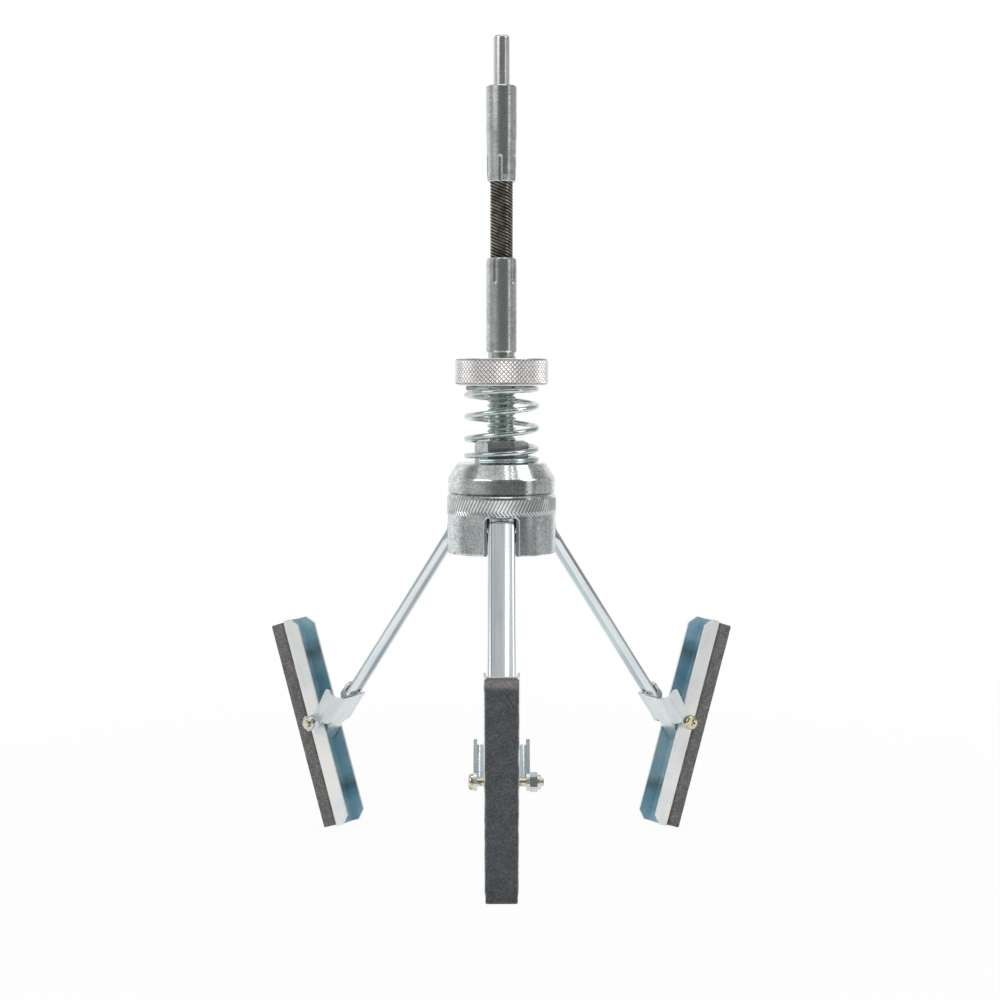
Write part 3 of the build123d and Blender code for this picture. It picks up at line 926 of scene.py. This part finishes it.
def white_world():
    """White behind the tool, also in its metal. Elsewhere a pale studio, dark in front, grey overhead."""
    world = bpy.data.worlds.new("white_studio")
    bpy.context.scene.world = world
    world.use_nodes = True
    tree = world.node_tree
    nodes, links = tree.nodes, tree.links
    nodes.clear()
    coordinate = nodes.new("ShaderNodeTexCoord")

    def fade(value, start, end, to_start, to_end):
        """A value taken softly from one range to another, and held at its ends."""
        shade = nodes.new("ShaderNodeMapRange")
        shade.interpolation_type = "SMOOTHSTEP"
        sockets = ("From Min", "From Max", "To Min", "To Max")
        for socket, number in zip(sockets, (start, end, to_start, to_end)):
            shade.inputs[socket].default_value = number
        links.new(value, shade.inputs["Value"])
        return shade.outputs["Result"]

    steeper = nodes.new("ShaderNodeVectorMath")
    steeper.operation = "MULTIPLY"
    steeper.inputs[1].default_value = (1, 1, 1.6)
    links.new(coordinate.outputs["Generated"], steeper.inputs[0])
    unit = nodes.new("ShaderNodeVectorMath")
    unit.operation = "NORMALIZE"
    links.new(steeper.outputs[0], unit.inputs[0])
    dot = nodes.new("ShaderNodeVectorMath")
    dot.operation = "DOT_PRODUCT"
    dot.inputs[1].default_value = DARK_SIDE
    links.new(unit.outputs[0], dot.inputs[0])
    facing = dot.outputs["Value"]
    split = nodes.new("ShaderNodeSeparateXYZ")
    links.new(coordinate.outputs["Generated"], split.inputs[0])
    height = split.outputs["Z"]
    front = fade(facing, 0.97, 0.2, 0.1, 0.5)
    back = fade(facing, -0.3, -0.8, 0.0, 0.44)
    overhead = fade(height, 0.4, 0.75, 1.0, 0.62)
    strength = math_node(tree, "MULTIPLY", math_node(tree, "ADD", front, back), overhead)
    # from which height to which each least strength sets in: on the table, over the horizon, at the top
    for start, end, least in ((-0.09, -0.17, 0.95), (-0.03, 0.08, 0.2), (0.6, 0.85, 0.6)):
        strength = math_node(tree, "MAXIMUM", strength, fade(height, start, end, 0.0, least))
    studio = nodes.new("ShaderNodeBackground")
    studio.inputs["Color"].default_value = (1, 1, 1, 1)
    links.new(strength, studio.inputs["Strength"])
    white = nodes.new("ShaderNodeBackground")
    white.inputs["Color"].default_value = (1, 1, 1, 1)
    path = nodes.new("ShaderNodeLightPath")
    glossy, through = path.outputs["Is Glossy Ray"], path.outputs["Is Transmission Ray"]
    mirrored = math_node(tree, "MAXIMUM", glossy, through)
    behind = math_node(tree, "MULTIPLY", mirrored, fade(facing, -0.3, -0.8, 0.0, 1.0))
    seen = math_node(tree, "MAXIMUM", path.outputs["Is Camera Ray"], behind)
    choose = nodes.new("ShaderNodeMixShader")
    output = nodes.new("ShaderNodeOutputWorld")
    links.new(seen, choose.inputs["Fac"])
    links.new(studio.outputs[0], choose.inputs[1])
    links.new(white.outputs[0], choose.inputs[2])
    links.new(choose.outputs[0], output.inputs["Surface"])


def pale_floor():
    """A white floor under the stones that keeps a faint shadow."""
    deselect()
    bpy.ops.mesh.primitive_plane_add(size=1.6, location=(0, 0, FLOOR_Z))
    floor = place(bpy.context.object)
    floor.name = "floor"
    material = bpy.data.materials.new("white_floor")
    material.use_nodes = True
    tree = material.node_tree
    nodes, links = tree.nodes, tree.links
    shader = nodes["Principled BSDF"]
    shader.inputs["Base Color"].default_value = (0.88, 0.88, 0.88, 1)
    shader.inputs["Roughness"].default_value = 0.9
    glow = nodes.new("ShaderNodeEmission")
    glow.inputs["Color"].default_value = (1, 1, 1, 1)
    path = nodes.new("ShaderNodeLightPath")
    coordinate = nodes.new("ShaderNodeTexCoord")
    reach = nodes.new("ShaderNodeVectorMath")
    reach.operation = "LENGTH"
    links.new(coordinate.outputs["Object"], reach.inputs[0])
    fade = nodes.new("ShaderNodeMapRange")
    fade.inputs["From Min"].default_value = 0.35
    fade.inputs["From Max"].default_value = 0.7
    fade.inputs["To Min"].default_value = 0.95
    links.new(reach.outputs["Value"], fade.inputs["Value"])
    seen = path.outputs["Is Camera Ray"]
    for ray in ("Is Glossy Ray", "Is Transmission Ray"):
        seen = math_node(tree, "MAXIMUM", seen, path.outputs[ray])
    mix = nodes.new("ShaderNodeMixShader")
    links.new(math_node(tree, "MULTIPLY", seen, fade.outputs["Result"]), mix.inputs["Fac"])
    links.new(shader.outputs[0], mix.inputs[1])
    links.new(glow.outputs[0], mix.inputs[2])
    links.new(mix.outputs[0], nodes["Material Output"].inputs["Surface"])
    floor.data.materials.append(material)


def soft_light(name, place_of_light, width, length, power, looks_down=False):
    """A soft light that looks straight down, or at the middle of the object."""
    lamp = bpy.data.lights.new(name, "AREA")
    lamp.shape = "RECTANGLE"
    lamp.size = width
    lamp.size_y = length
    lamp.energy = power
    light = bpy.data.objects.new(name, lamp)
    bpy.context.collection.objects.link(light)
    light.location = place_of_light
    if not looks_down:
        aim = LAMP_AIM - Vector(place_of_light)
        light.rotation_euler = aim.to_track_quat("-Z", "Y").to_euler()


def photo_camera():
    """The photograph's view, in front of the tool and a little above its middle."""
    camera = bpy.data.cameras.new("camera")
    camera.lens = LENS
    camera.sensor_width = 36
    eye = bpy.data.objects.new("camera", camera)
    bpy.context.collection.objects.link(eye)
    eye.location = EYE
    eye.rotation_euler = (EYE_TILT, 0, 0)
    bpy.context.scene.camera = eye


white_world()
pale_floor()
soft_light("left_light", (-0.7, -0.62, 0.48), width=0.7, length=0.7, power=2.8)
soft_light("right_light", (0.72, -0.26, 0.52), width=0.48, length=0.48, power=1.8)
soft_light("top_light", (0.0, 0.05, 1.0), width=0.5, length=0.5, power=1.0)
soft_light("panel_middle", (0.185, -0.65, 0.85), width=0.11, length=0.34, power=0.22, looks_down=True)
soft_light("panel_right", (0.4, -0.65, 0.85), width=0.08, length=0.34, power=0.21, looks_down=True)
soft_light("panel_side", (0.72, -0.4, 0.0), width=0.2, length=0.5, power=0.3)
photo_camera()
bpy.context.scene.view_settings.view_transform = "Standard"
